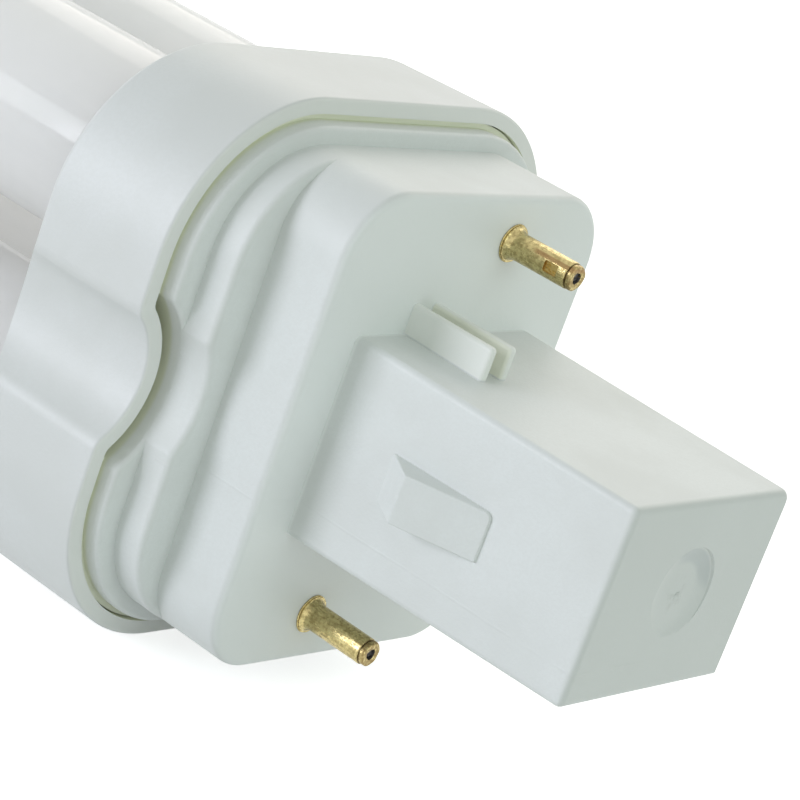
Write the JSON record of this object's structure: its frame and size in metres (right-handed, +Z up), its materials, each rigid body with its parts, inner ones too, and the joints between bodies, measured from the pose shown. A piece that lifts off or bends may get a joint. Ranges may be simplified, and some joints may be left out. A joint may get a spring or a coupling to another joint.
{
  "type": "compact fluorescent lamp",
  "caption": "Plug-in compact fluorescent lamp with a double glass tube, fluted plastic cap, brass contact pins and a hollow plug post that holds the starter.",
  "frame": {"origin": "on the surface that the lamp lies on, under the middle of its overall box", "axes": "+X along the lamp's axis, from the glass towards the end of the plug post; +Y across the lamp, away from the side that the picture shows; +Z up, towards the key ribs on the post"},
  "size_m": [0.153, 0.0336, 0.0335],
  "materials": {
    "phosphor_glass": "glossy clear glass with an opaque white coating inside",
    "shell_plastic": "fine satin, moulded",
    "white_plastic": "fine satin, moulded",
    "pin_brass": "drawn brass with dark tarnish specks",
    "grey_cement": "dull, poured",
    "starter_glass": "clear, glossy",
    "capacitor_case": "dipped resin",
    "tinned_wire": "tinned",
    "joint_metal": "crimped metal",
    "sleeve_fibre": "woven glass fibre"
  },
  "bodies": {
    "root": {"discharge_tube": "phosphor_glass", "tube_shell": "shell_plastic", "bedding_cement": "grey_cement", "cap_body": "white_plastic", "contact_pin_upper": "pin_brass", "contact_pin_lower": "pin_brass", "glow_bottle": "starter_glass", "capacitor": "capacitor_case", "pin_lead_upper": "tinned_wire", "pin_lead_lower": "tinned_wire", "starter_lead_left": "tinned_wire", "starter_lead_right": "tinned_wire", "glow_lead_left": "tinned_wire", "glow_lead_right": "tinned_wire", "capacitor_lead_left": "tinned_wire", "capacitor_lead_right": "tinned_wire", "wire_joint_left": "joint_metal", "wire_joint_right": "joint_metal", "lead_sleeve_left": "sleeve_fibre", "lead_sleeve_right": "sleeve_fibre"}
  },
  "joints": []
}
